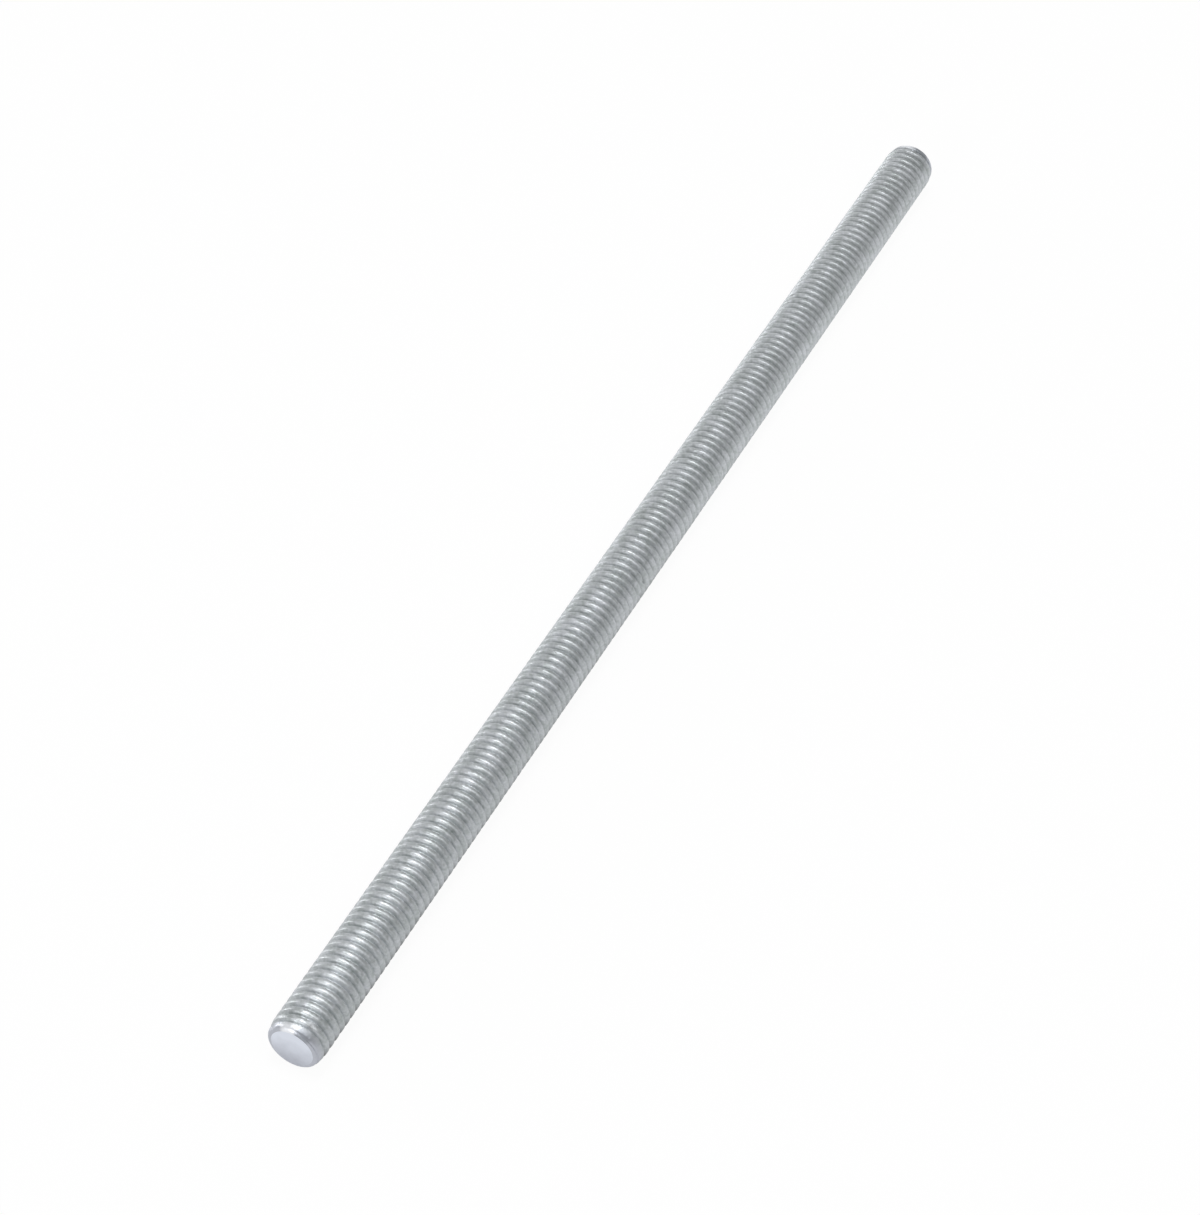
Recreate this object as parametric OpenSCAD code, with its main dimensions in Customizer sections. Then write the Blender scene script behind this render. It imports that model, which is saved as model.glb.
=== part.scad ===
// Fully threaded rod: a cold-rolled bar with one continuous right-hand
// metric thread from end to end. Both cut ends have a short taper and a
// rounded rim. The rod lies along X with its centre at the origin.

/* [Rod] */
// Length over the two end faces
rod_l = 153; // [40:1:200]
// Major diameter, over the thread crests
major_d = 6; // [5:0.1:12]

/* [Thread] */
// Axial distance from one turn to the next
pitch = 1; // [0.8:0.05:2]
// Angle between the two flanks of the groove
flank_angle = 60; // [45:1:75]
// Width of the flat left on each crest
crest_w = 0.14; // [0.1:0.01:0.25]
// Angle round the rod at which the groove leaves the left end face
start_angle = 90; // [0:5:355]

/* [Ends] */
// Depth of the taper at the end face, in from the crests along the radius
taper_depth = 0.25; // [0.1:0.05:0.8]
// Axial length of the taper
taper_l = 1.5; // [0.5:0.05:3]
// Radius of the rounded rim between the taper and the end face
rim_r = 0.4; // [0.1:0.05:0.7]

/* [Hidden] */

// The groove is swept in straight steps: as many a turn as the budget allows
facet_budget = 11200;
facets_per_step = 6;
min_steps_per_turn = 8;

major_r = major_d / 2;
run_out = 1; // turns by which the sweep passes each end face
turns = rod_l / pitch + 2 * run_out;
steps_per_turn = max(min_steps_per_turn,
                     floor(facet_budget / (turns * facets_per_step)));
steps = ceil(turns * steps_per_turn);

// A straight step cuts deeper at its middle than at its ends, so the ring
// radii are raised until the groove has its true size on average
chord_gain = 2 / (1 + cos(180 / steps_per_turn));

// Section of the groove: a V whose mouth stands a little proud of the crests
mouth_proud = 0.2;
mouth_half = (pitch - crest_w) / 2;
groove_depth = mouth_half / tan(flank_angle / 2);
groove_section = [
    [-mouth_half - mouth_proud * tan(flank_angle / 2), major_r + mouth_proud],
    [0, major_r - groove_depth],
    [mouth_half + mouth_proud * tan(flank_angle / 2), major_r + mouth_proud],
];
corners = len(groove_section);

// Ring of section corners at step i of the right-hand helix
function helix_ring(i) =
    let (turn = i / steps_per_turn,
         angle = start_angle + 360 * turn,
         x = -rod_l / 2 + pitch * (turn - run_out))
    [for (c = groove_section)
        [x + c[0],
         c[1] * chord_gain * cos(angle),
         c[1] * chord_gain * sin(angle)]];

// The closed body that a die would displace: the section swept on the helix
module thread_groove() {
    points = [for (i = [0:steps]) each helix_ring(i)];
    walls = [for (i = [0:steps - 1], k = [0:corners - 1])
        let (a = i * corners + k,
             b = i * corners + (k + 1) % corners)
        each [[a, a + corners, b], [b, a + corners, b + corners]]];
    first_end = [for (k = [0:corners - 1]) k];
    last_end = [for (k = [corners - 1:-1:0]) steps * corners + k];
    polyhedron(points, concat([first_end], walls, [last_end]));
}

// The rim is an arc that meets the end face and the taper without a corner
rim_steps = 5;
rim_turn = 90 - atan(taper_depth / taper_l);
face_r = major_r - taper_depth - rim_r * tan(rim_turn / 2);
rim_arc = [for (i = [0:rim_steps])
    let (angle = rim_turn * i / rim_steps)
    [face_r + rim_r * sin(angle), rim_r * (1 - cos(angle))]];

// The bar before the thread: a cylinder with a taper and a rounded rim at
// each end. Its half section has the radius first, then the place along X.
module tapered_bar() {
    left_end = concat([[0, 0]], rim_arc, [[major_r, taper_l]]);
    right_end = [for (i = [len(left_end) - 1:-1:0])
        [left_end[i][0], rod_l - left_end[i][1]]];
    translate([-rod_l / 2, 0, 0])
        rotate([0, 90, 0])
            rotate_extrude($fn = 96)
                polygon(concat(left_end, right_end));
}

module threaded_rod() {
    color("silver")
        difference() {
            tapered_bar();
            thread_groove();
        }
}

threaded_rod();
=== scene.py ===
import math

import bpy
import numpy as np
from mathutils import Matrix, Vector, noise


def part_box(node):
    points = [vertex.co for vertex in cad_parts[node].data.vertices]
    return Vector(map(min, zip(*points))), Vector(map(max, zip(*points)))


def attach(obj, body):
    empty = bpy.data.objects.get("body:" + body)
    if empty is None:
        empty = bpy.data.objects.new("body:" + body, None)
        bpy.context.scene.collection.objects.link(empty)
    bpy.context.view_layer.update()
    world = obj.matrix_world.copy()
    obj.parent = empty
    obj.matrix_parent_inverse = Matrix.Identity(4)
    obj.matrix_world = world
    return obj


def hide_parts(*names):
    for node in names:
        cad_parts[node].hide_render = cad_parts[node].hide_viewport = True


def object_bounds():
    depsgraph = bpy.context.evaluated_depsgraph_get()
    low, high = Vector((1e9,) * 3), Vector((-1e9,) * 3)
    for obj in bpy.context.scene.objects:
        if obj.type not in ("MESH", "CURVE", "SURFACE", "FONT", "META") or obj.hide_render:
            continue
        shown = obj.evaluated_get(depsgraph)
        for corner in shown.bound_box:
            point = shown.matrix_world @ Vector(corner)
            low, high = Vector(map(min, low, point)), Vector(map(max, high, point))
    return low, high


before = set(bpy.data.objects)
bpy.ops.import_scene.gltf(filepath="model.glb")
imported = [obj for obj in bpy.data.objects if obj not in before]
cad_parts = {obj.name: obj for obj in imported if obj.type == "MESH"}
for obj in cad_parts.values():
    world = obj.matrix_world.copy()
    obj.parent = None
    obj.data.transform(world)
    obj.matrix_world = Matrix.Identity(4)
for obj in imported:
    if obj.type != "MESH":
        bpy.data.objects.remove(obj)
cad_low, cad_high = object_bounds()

# A zinc plated threaded rod, lying on a white studio floor. Everything is in metres, in the frame
# of the CAD model: the rod runs along X, with its centre at the origin.

MM = 0.001

# ---------------------------------------------------------------- sizes

rod_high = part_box("threaded_rod")[1]
HALF_LENGTH = rod_high.x
CREST_RADIUS = rod_high.z

# The thread. The section is in pitches, so that it keeps its form at any pitch.
PITCH = 1.0 * MM
FLANK_ANGLE = math.radians(60)      # between a flank and the rod's axis
CREST_FLAT = 0.42                   # rolled wide
CREST_FILLET = 0.05                 # radius on each edge of the crest
GROOVE_DEPTH = 0.42
GROOVE_START = math.radians(90)     # where the groove leaves the left end face
COLUMNS = 62                        # straight lines of points round the rod

# The ends: a short taper and a rounded rim round the flat face
TAPER_DEPTH = 0.25 * MM
TAPER_LENGTH = 1.5 * MM
RIM_RADIUS = 0.55 * MM
RIM_STEPS = 5
FACE_RINGS = (0.97, 0.66, 0.33)     # rings of points on the face, as shares of its outline

# Points closer together than this along a column are joined. Two columns' points that are in step
# with the thread to within this share of a pitch are level.
LEAST_STEP = 0.006 * MM
LEVEL = 1e-6

# Edges sharper than this, and only those, show as edges
SHARP_ANGLE = math.radians(36)

# Irregularities of the rolled thread
UNEVENNESS = 0.034 * MM             # the most that the surface lies under its true place
UNEVEN_ALONG = 0.5 * MM             # how far the unevenness reaches along the rod and round it
UNEVEN_ROUND = 1.3 * MM
SEED = 7
SMALL_NICKS = 110
LARGE_NICKS = (                     # place along the rod, degrees round it, reach and depth
    (-5.5 * MM, 162, 0.42 * MM, 0.30 * MM),
    (-6.5 * MM, 186, 0.42 * MM, 0.30 * MM),
    (-1.5 * MM, 122, 0.35 * MM, 0.08 * MM),
    (-15.5 * MM, 66, 0.40 * MM, 0.12 * MM),
    (-23.4 * MM, 172, 0.40 * MM, 0.12 * MM),
    (-75.1 * MM, 121, 0.40 * MM, 0.12 * MM),
    (-76.2 * MM, 34, 0.50 * MM, 0.20 * MM),
)
FULL_SHADE_NICK = 0.20 * MM             # a nick this deep gets the full painted shade


# ---------------------------------------------------------------- shader trees

class Wire:
    """An output socket of a node tree. Sums written with wires add their Math nodes."""

    def __init__(self, finish, socket):
        self.finish = finish
        self.socket = socket

    def maths(self, operation, first, second):
        return self.finish.add("ShaderNodeMath", {"operation": operation}, {0: first, 1: second})

    def __add__(self, other):
        return self.maths("ADD", self, other)

    def __sub__(self, other):
        return self.maths("SUBTRACT", self, other)

    def __rsub__(self, other):
        return self.maths("SUBTRACT", other, self)

    def __mul__(self, other):
        return self.maths("MULTIPLY", self, other)

    def __truediv__(self, other):
        return self.maths("DIVIDE", self, other)

    def __pow__(self, other):
        return self.maths("POWER", self, other)

    __radd__ = __add__
    __rmul__ = __mul__

    def output(self, name):
        """Another output of the same node."""
        return Wire(self.finish, self.socket.node.outputs[name])

    def clamped(self):
        return self.maths("MAXIMUM", self.maths("MINIMUM", self, 1.0), 0.0)


class Finish:
    """The node tree of one material, or of the world."""

    def __init__(self, owner):
        owner.use_nodes = True
        self.owner = owner
        self.tree = owner.node_tree
        self.tree.nodes.clear()

    def add(self, kind, settings=None, sockets=None, out=0):
        """A node, with its settings, then the values or links of its sockets."""
        node = self.tree.nodes.new(kind)
        for name, value in (settings or {}).items():
            setattr(node, name, value)
        for name, value in (sockets or {}).items():
            if isinstance(value, Wire):
                self.tree.links.new(value.socket, node.inputs[name])
            else:
                node.inputs[name].default_value = value
        return Wire(self, node.outputs[out]) if len(node.outputs) else None

    def mix_colours(self, factor, first, second):
        colours = {0: factor, 6: first, 7: second}
        return self.add("ShaderNodeMix", {"data_type": "RGBA"}, colours, out=2)

    def place(self):
        """Where a point of the surface is, in metres from the rod's centre."""
        return self.add("ShaderNodeTexCoord", out=3)

    def along(self, place):
        """A place's X. Its output() gives Y and Z."""
        return self.add("ShaderNodeSeparateXYZ", {}, {0: place})

    def noise(self, place, size, detail=2.0):
        """Noise with features of about this size, in metres."""
        sockets = {"Vector": place, "Scale": 1 / size, "Detail": detail}
        return self.add("ShaderNodeTexNoise", {}, sockets)

    def relief(self, height, strength, distance):
        sockets = {"Strength": strength, "Distance": distance, "Height": height}
        return self.add("ShaderNodeBump", {}, sockets)

    def metal(self, colour, metallic, dullness, relief):
        """Ends a material as metal, and returns the material."""
        shader = self.add("ShaderNodeBsdfPrincipled", {}, {
            "Base Color": colour, "Metallic": metallic, "Roughness": dullness, "Normal": relief})
        self.add("ShaderNodeOutputMaterial", {}, {0: shader})
        return self.owner


# ---------------------------------------------------------------- finishes

# Marks in the plating, by size
FACE_MOTTLE = 1.1 * MM
CLOUDS = 2.2 * MM
SPOTS = 0.6 * MM
GRAINS = 0.30 * MM
FACE_GRAINS = 0.22 * MM
PIMPLES = 0.14 * MM
PIMPLE_HEIGHT = 0.03 * MM
FACE_GRAIN_HEIGHT = 0.02 * MM

# Colours of the zinc, and of the painted light and shade on it
DULL_SILVER = (0.38, 0.42, 0.41, 1)
BRIGHT_SILVER = (0.72, 0.74, 0.78, 1)
# the silver under full painted shade
SHADED_SILVER = (0.26, 0.27, 0.275, 1)
# painted light and shade on the rims: lighter low down, darker high up, a shade arc and a highlight
# arc
LOW_RIM = (0.60, 0.62, 0.69, 1)
HIGH_RIM = (0.53, 0.55, 0.60, 1)
PAINTED_SHADE_RIM = (0.36, 0.38, 0.42, 1)
PAINTED_HIGHLIGHT_RIM = (0.94, 0.96, 1.0, 1)
# the end face, darker below and lighter above: partly painted shading, partly the burnished band of
# the shear
DULL_AND_SHADED_FACE = (0.50, 0.52, 0.58, 1)
BURNISHED_AND_LIT_FACE = (0.87, 0.91, 1.0, 1)

# Painted shade in the groove and on the underside, at the middle of the rod and its change for each
# metre along it
GROOVE_SHADE, GROOVE_SHADE_RISE = 0.40, 7.0
UNDERSIDE_SHADE, UNDERSIDE_SHADE_FALL = 0.45, 9.0
UNDERSIDE_DEPTH = 1.4 * MM          # the painted shade is whole from this far under the rod's axis

# The rims' painted light and shade reaches this far from the end faces, and fades in over this
# length
RIM_REACH = 1.2 * MM
RIM_FADE = 0.9 * MM

# A painted highlight arc and a painted shade arc on each rim, by the angle of their middles round
# the rod
PAINTED_HIGHLIGHT_AT = math.radians(82)
PAINTED_SHADE_AT = math.radians(119)
ARC_EDGE = 0.93                     # cosine of half of an arc
ARC_SHARPNESS = 20


def arc(y, z, middle):
    """How far a point lies within the arc that has its middle at this angle round the rod."""
    radius = (y * y + z * z) ** 0.5
    nearness = (y * math.cos(middle) + z * math.sin(middle)) / radius
    return ((nearness - ARC_EDGE) * ARC_SHARPNESS).clamped()


def painted_thread_shade(finish, x, y, z):
    """Painted shade: darker in the groove, in the nicks and on the underside."""
    radius = (y * y + z * z) ** 0.5
    depth = ((CREST_RADIUS - radius) / (GROOVE_DEPTH * PITCH)).clamped()
    # painted shade deep in the groove, stronger towards the far end
    groove = depth ** 2 * (GROOVE_SHADE + x * GROOVE_SHADE_RISE)
    # painted shade on the underside, stronger towards the near end
    low = (z * (-1 / UNDERSIDE_DEPTH)).clamped()
    underside = low * (UNDERSIDE_SHADE - x * UNDERSIDE_SHADE_FALL)
    # painted shade in the nicks, darker the deeper the nick
    nick = finish.add("ShaderNodeAttribute", {"attribute_name": "nick"}, out=2)
    return (groove + underside + nick).clamped()


def painted_rim_light(finish, y, z):
    # painted shading on the rim: lighter low down and darker high up, then a painted shade arc and
    # a painted highlight arc
    height = (z / (2 * CREST_RADIUS) + 0.5).clamped()
    colour = finish.mix_colours(height, LOW_RIM, HIGH_RIM)
    colour = finish.mix_colours(arc(y, z, PAINTED_SHADE_AT), colour, PAINTED_SHADE_RIM)
    return finish.mix_colours(arc(y, z, PAINTED_HIGHLIGHT_AT), colour, PAINTED_HIGHLIGHT_RIM)


def bright_zinc():
    """Zinc on the rolled thread and the rims: bluish silver, cloudy, with painted shade in the
    groove, on the underside and in the nicks, and painted light and shade on the rims.
    """
    finish = Finish(bpy.data.materials.new("bright_zinc_plating"))
    place = finish.place()
    x = finish.along(place)
    y, z = x.output("Y"), x.output("Z")
    clouds = finish.noise(place, CLOUDS, 3.0)
    spots = finish.noise(place, SPOTS)
    grains = finish.noise(place, GRAINS)
    pimples = finish.noise(place, PIMPLES)

    tone = (clouds * 0.8 + spots * 0.9 + grains * 0.6 - 0.65).clamped()
    silver = finish.mix_colours(tone, DULL_SILVER, BRIGHT_SILVER)
    # painted shade darkens the groove, the underside and the nicks
    silver = finish.mix_colours(painted_thread_shade(finish, x, y, z), silver, SHADED_SILVER)
    from_middle = (x * x) ** 0.5
    rim = ((from_middle - (HALF_LENGTH - RIM_REACH)) / RIM_FADE).clamped()
    # near the end faces the colour gives way to the rims' painted light and shade
    colour = finish.mix_colours(rim, silver, painted_rim_light(finish, y, z))
    dullness = 0.30 + clouds * 0.16 + grains * 0.12
    relief = finish.relief(spots * 1.5 + grains + pimples * 0.3, 0.6, PIMPLE_HEIGHT)
    return finish.metal(colour, 0.8, dullness, relief)


def cut_face_zinc():
    """The same plating on the sheared end faces: flatter, more matt, with a soft mottle, and
    lighter towards the top, partly as a burnished band of the shear and partly as painted shading.
    """
    finish = Finish(bpy.data.materials.new("zinc_on_cut_face"))
    place = finish.place()
    height = finish.along(place).output("Z")
    mottle = finish.noise(place, FACE_MOTTLE, 3.0)
    # lighter towards the top: painted shading from the floor's reflection, and partly the burnished
    # band of the shear
    burnish_and_light = (height * (0.8 / CREST_RADIUS) + 0.46 + mottle * 0.5).clamped()
    colour = finish.mix_colours(burnish_and_light, DULL_AND_SHADED_FACE, BURNISHED_AND_LIT_FACE)
    relief = finish.relief(finish.noise(place, FACE_GRAINS), 0.25, FACE_GRAIN_HEIGHT)
    return finish.metal(colour, 1.0, 0.36 + mottle * 0.10, relief)


# ---------------------------------------------------------------- the rod

def groove_section():
    """One pitch of the section: (distance from the groove's middle, depth under the crest)."""
    root_radius = (1 - CREST_FLAT) / 2 * math.tan(FLANK_ANGLE) - GROOVE_DEPTH
    half = [(root_radius * math.sin(turn), GROOVE_DEPTH - root_radius * (1 - math.cos(turn)))
            for turn in (0, FLANK_ANGLE / 2, FLANK_ANGLE)]
    crest_edge = 0.5 - CREST_FLAT / 2
    tangent = CREST_FILLET * math.tan(FLANK_ANGLE / 2)
    half.append((crest_edge - tangent * math.cos(FLANK_ANGLE), tangent * math.sin(FLANK_ANGLE)))
    half.append((crest_edge + tangent, 0))
    mirrored = [(-distance, depth) for distance, depth in reversed(half[1:])]
    return np.array(mirrored + half + [(0.5, 0)])


def end_profile():
    """(distance from the end face, radius): the rounded rim and the taper up to the crests."""
    slope = math.atan(TAPER_DEPTH / TAPER_LENGTH)
    whole_turn = math.pi / 2 - slope
    flat_radius = CREST_RADIUS - TAPER_DEPTH - RIM_RADIUS * math.tan(whole_turn / 2)
    rim = [(RIM_RADIUS * (1 - math.cos(turn)), flat_radius + RIM_RADIUS * math.sin(turn))
           for turn in np.linspace(0, whole_turn, RIM_STEPS + 1)]
    return np.array(rim + [(TAPER_LENGTH, CREST_RADIUS)])


def column_points(turn):
    """(x, radius) down the straight line that lies this share of a turn round from the Y axis."""
    section = groove_section()
    lead = turn - GROOVE_START / (2 * math.pi)
    grooves = np.arange(-2, math.ceil(2 * HALF_LENGTH / PITCH) + 3)
    groove_x = -HALF_LENGTH + PITCH * (grooves[:, None] + lead + section[:, 0]).ravel()
    groove_radius = CREST_RADIUS - PITCH * np.tile(section[:, 1], len(grooves))
    end_depth, end_radius = end_profile().T

    def thread(x):
        return np.interp(x, groove_x, groove_radius)

    def bar(x):
        return np.interp(HALF_LENGTH - np.abs(x), end_depth, end_radius)

    inside = groove_x[np.abs(groove_x) < HALF_LENGTH - LEAST_STEP]
    x = np.unique(np.concatenate([inside, end_depth - HALF_LENGTH, HALF_LENGTH - end_depth]))
    over = thread(x) - bar(x)
    crossing = np.nonzero(over[:-1] * over[1:] < 0)[0]
    share = over[crossing] / (over[crossing] - over[crossing + 1])
    x = np.sort(np.concatenate([x, x[crossing] + share * (x[crossing + 1] - x[crossing])]))
    keep = np.concatenate([[True], np.diff(x) > LEAST_STEP])
    keep[-2:] = [x[-1] - x[-2] > LEAST_STEP, True]      # the last point is always kept
    x = x[keep]
    return x, np.minimum(thread(x), bar(x))


def stitch(first, second, first_place, second_place):
    """Faces between two columns of points, walking down both in step with the thread."""
    faces = []
    i = k = 0
    while i < len(first) - 1 or k < len(second) - 1:
        ahead_first = first_place[i + 1] if i < len(first) - 1 else math.inf
        ahead_second = second_place[k + 1] if k < len(second) - 1 else math.inf
        if abs(ahead_first - ahead_second) < LEVEL:
            faces.append((first[i], second[k], second[k + 1], first[i + 1]))
            i += 1
            k += 1
        elif ahead_first < ahead_second:
            faces.append((first[i], second[k], first[i + 1]))
            i += 1
        else:
            faces.append((first[i], second[k], second[k + 1]))
            k += 1
    return faces


def worn(points):
    """The points moved in by the unevenness of rolling and by nicks, and how nicked each one is."""
    scale = np.array([1 / UNEVEN_ALONG, 1 / UNEVEN_ROUND, 1 / UNEVEN_ROUND])
    waves = np.array([noise.fractal(place, 1.0, 2.0, 3) for place in (points * scale).tolist()])
    depth = UNEVENNESS * (0.5 + 0.5 * np.clip(waves, -1, 1))
    nicked = np.zeros(len(points))

    chance = np.random.RandomState(SEED)
    nicks = [*LARGE_NICKS] + [
        (chance.uniform(-1, 1) * HALF_LENGTH, chance.uniform(0, 360),
         chance.uniform(0.2, 0.45) * MM, chance.uniform(0.02, 0.06) * MM)
        for _ in range(SMALL_NICKS)]
    for x, around, reach, nick_depth in nicks:
        turn = math.radians(around)
        centre = (x, CREST_RADIUS * math.cos(turn), CREST_RADIUS * math.sin(turn))
        nearness = 1 - np.sum((points - centre) ** 2, axis=1) / reach ** 2
        nicked += nick_depth * np.clip(nearness, 0, 1)
    radius = np.hypot(points[:, 1], points[:, 2])
    inward = 1 - (depth + nicked) / radius
    worn_points = points * np.column_stack([np.ones_like(radius), inward, inward])
    # how nicked each point is, as a share of the depth that gets the full painted shade
    return worn_points, nicked / FULL_SHADE_NICK


def rod_mesh():
    """The whole rod: its points, how nicked the thread's are, its faces, how many are thread."""
    columns, places, points, faces = [], [], [], []
    count = 0
    for column in range(COLUMNS):
        turn = column / COLUMNS
        x, radius = column_points(turn)
        angle = 2 * math.pi * turn
        points.append(np.column_stack([x, radius * math.cos(angle), radius * math.sin(angle)]))
        columns.append(range(count, count + len(x)))
        places.append(x / PITCH - turn)
        count += len(x)
    for column in range(COLUMNS):
        after = (column + 1) % COLUMNS
        wrap = 1 if after == 0 else 0
        faces += stitch(columns[column], columns[after], places[column], places[after] - wrap)
    points, nicked = worn(np.concatenate(points))
    thread_faces = len(faces)

    for end, side in ((0, -1), (-1, 1)):
        outward = slice(None, None, -side)      # the order of points that turns a face outward
        ring = [column[end] for column in columns]
        outline = points[ring]
        for share in FACE_RINGS:
            inner = range(len(points), len(points) + COLUMNS)
            points = np.concatenate([points, outline * (1, share, share)])
            for k in range(COLUMNS):
                after = (k + 1) % COLUMNS
                faces.append((ring[k], inner[k], inner[after], ring[after])[outward])
            ring = inner
        middle = len(points)
        points = np.concatenate([points, [[side * HALF_LENGTH, 0, 0]]])
        faces += [(ring[k], middle, ring[(k + 1) % COLUMNS])[outward] for k in range(COLUMNS)]
    return points, nicked, faces, thread_faces


def threaded_rod():
    """The rod with its rolled thread, as one closed mesh."""
    points, nicked, faces, thread_faces = rod_mesh()
    mesh = bpy.data.meshes.new("rolled_thread_rod")
    mesh.from_pydata(points.tolist(), [], faces)
    nick = mesh.attributes.new("nick", "FLOAT", "POINT")
    nick.data.foreach_set("value", np.pad(nicked, (0, len(points) - len(nicked))))
    mesh.materials.append(bright_zinc())
    mesh.materials.append(cut_face_zinc())
    finishes = [0] * thread_faces + [1] * (len(faces) - thread_faces)
    mesh.polygons.foreach_set("material_index", finishes)
    mesh.polygons.foreach_set("use_smooth", [True] * len(faces))
    mesh.set_sharp_from_angle(angle=SHARP_ANGLE)
    mesh.validate()
    rod = bpy.data.objects.new("rolled_thread_rod", mesh)
    bpy.context.scene.collection.objects.link(rod)
    shading = rod.modifiers.new("even_shading", "WEIGHTED_NORMAL")
    shading.keep_sharp = True
    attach(rod, "root")
    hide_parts("threaded_rod")


# ---------------------------------------------------------------- stage

FLOOR_SIZE = 6.0
FLOOR_PAINT = (0.9, 0.9, 0.9, 1)
FLOOR_GLOW = 0.95                   # share of the floor's white that doesn't take shadow
CONTACT_SHADE = 2 * MM              # how far the shade under the rod reaches

# The floor as the metal mirrors it: its white at the middle of the rod, and how much it changes for
# each metre along the rod, between two places on it
MIRRORED_WHITE, MIRRORED_RISE = 0.95, 2.2
RISE_FROM, RISE_TO = -0.08, 0.02

ROOM_GREY = (0.33, 0.33, 0.33, 1)
BACKDROP_WHITE = (1, 1, 1, 1)

LAMP_DISTANCE = 1.0
LAMPS = (                           # name, azimuth and elevation in degrees, side, watts
    ("overhead_softbox", 0, 88, 0.25, 4.22),
    ("end_softbox", 172, 20, 0.24, 2.32),
    ("side_softbox", 90, 8, 0.50, 3.29),
    ("front_softbox", 260, 55, 0.40, 1.48),
    ("back_softbox", 30, 15, 0.50, 0.66),
)


def floor_white():
    """Matt white studio floor that stays white behind the rod and keeps its shadow.

    The camera sees it white, straight, in metal or through glass. In the metal it has a shade
    under the rod and is a little darker towards the rod's near end.
    """
    finish = Finish(bpy.data.materials.new("studio_floor_white"))
    ray = finish.add("ShaderNodeLightPath")
    mirrored = ray.output("Is Glossy Ray") + ray.output("Is Transmission Ray")
    shade = finish.add("ShaderNodeAmbientOcclusion", {}, {"Distance": CONTACT_SHADE}, out=1)
    x = finish.along(finish.place())
    rise = finish.add("ShaderNodeClamp", {}, {"Value": x, "Min": RISE_FROM, "Max": RISE_TO})
    white = ray + mirrored * (MIRRORED_WHITE + rise * MIRRORED_RISE)
    glow = finish.add("ShaderNodeEmission", {}, {"Color": white})
    paint = finish.add("ShaderNodeBsdfDiffuse", {}, {"Color": FLOOR_PAINT})
    share = (ray + mirrored * shade) * FLOOR_GLOW
    shader = finish.add("ShaderNodeMixShader", {}, {0: share, 1: paint, 2: glow})
    finish.add("ShaderNodeOutputMaterial", {}, {0: shader})
    return finish.owner


def studio_floor():
    half, height = FLOOR_SIZE / 2, cad_low.z
    mesh = bpy.data.meshes.new("studio_floor")
    corners = [(x * half, y * half, height) for x, y in ((-1, -1), (1, -1), (1, 1), (-1, 1))]
    mesh.from_pydata(corners, [], [(0, 1, 2, 3)])
    mesh.materials.append(floor_white())
    floor = bpy.data.objects.new("studio_floor", mesh)
    bpy.context.scene.collection.objects.link(floor)


def studio_room():
    """Plain grey room light, with white behind the rod for the camera."""
    world = bpy.data.worlds.new("studio_room")
    bpy.context.scene.world = world
    finish = Finish(world)
    seen = finish.add("ShaderNodeLightPath")
    room = finish.add("ShaderNodeBackground", {}, {"Color": ROOM_GREY})
    white = finish.add("ShaderNodeBackground", {}, {"Color": BACKDROP_WHITE})
    shader = finish.add("ShaderNodeMixShader", {}, {0: seen, 1: room, 2: white})
    finish.add("ShaderNodeOutputWorld", {}, {0: shader})


def softbox(name, azimuth, elevation, side, watts):
    """A square soft lamp that looks at the rod. Azimuth is from +X towards +Y."""
    around, up = math.radians(azimuth), math.radians(elevation)
    place = Vector((math.cos(around) * math.cos(up), math.sin(around) * math.cos(up), math.sin(up)))
    lamp = bpy.data.lights.new(name, "AREA")
    lamp.shape = "SQUARE"
    lamp.size = side
    lamp.energy = watts
    holder = bpy.data.objects.new(name, lamp)
    holder.location = place * LAMP_DISTANCE
    holder.rotation_euler = (-place).to_track_quat("-Z", "Y").to_euler()
    holder.visible_camera = False
    bpy.context.scene.collection.objects.link(holder)


# ---------------------------------------------------------------- camera

CAMERA_AIM = Vector((-10.5, 0.05, 0.02)) * MM
CAMERA_DISTANCE = 361.0 * MM
CAMERA_TURN = math.radians(26.16)   # of its line of sight, from the rod's axis towards +Y
CAMERA_DIP = math.radians(44.53)
LENS = 100.2
SENSOR_WIDTH = 36
CAMERA_REACH = (0.01, 50)           # nearest and farthest that it sees


def camera():
    """The camera, looking down along the rod from its near end."""
    sight = Vector((
        math.cos(CAMERA_TURN) * math.cos(CAMERA_DIP),
        math.sin(CAMERA_TURN) * math.cos(CAMERA_DIP),
        -math.sin(CAMERA_DIP)))
    data = bpy.data.cameras.new("camera")
    data.lens = LENS
    data.sensor_width = SENSOR_WIDTH
    data.clip_start, data.clip_end = CAMERA_REACH
    holder = bpy.data.objects.new("camera", data)
    holder.location = CAMERA_AIM - sight * CAMERA_DISTANCE
    holder.rotation_euler = sight.to_track_quat("-Z", "Y").to_euler()
    bpy.context.scene.collection.objects.link(holder)
    bpy.context.scene.camera = holder


# ---------------------------------------------------------------- the scene

camera()
threaded_rod()
studio_floor()
studio_room()
for lamp in LAMPS:
    softbox(*lamp)
bpy.context.scene.view_settings.view_transform = "Standard"
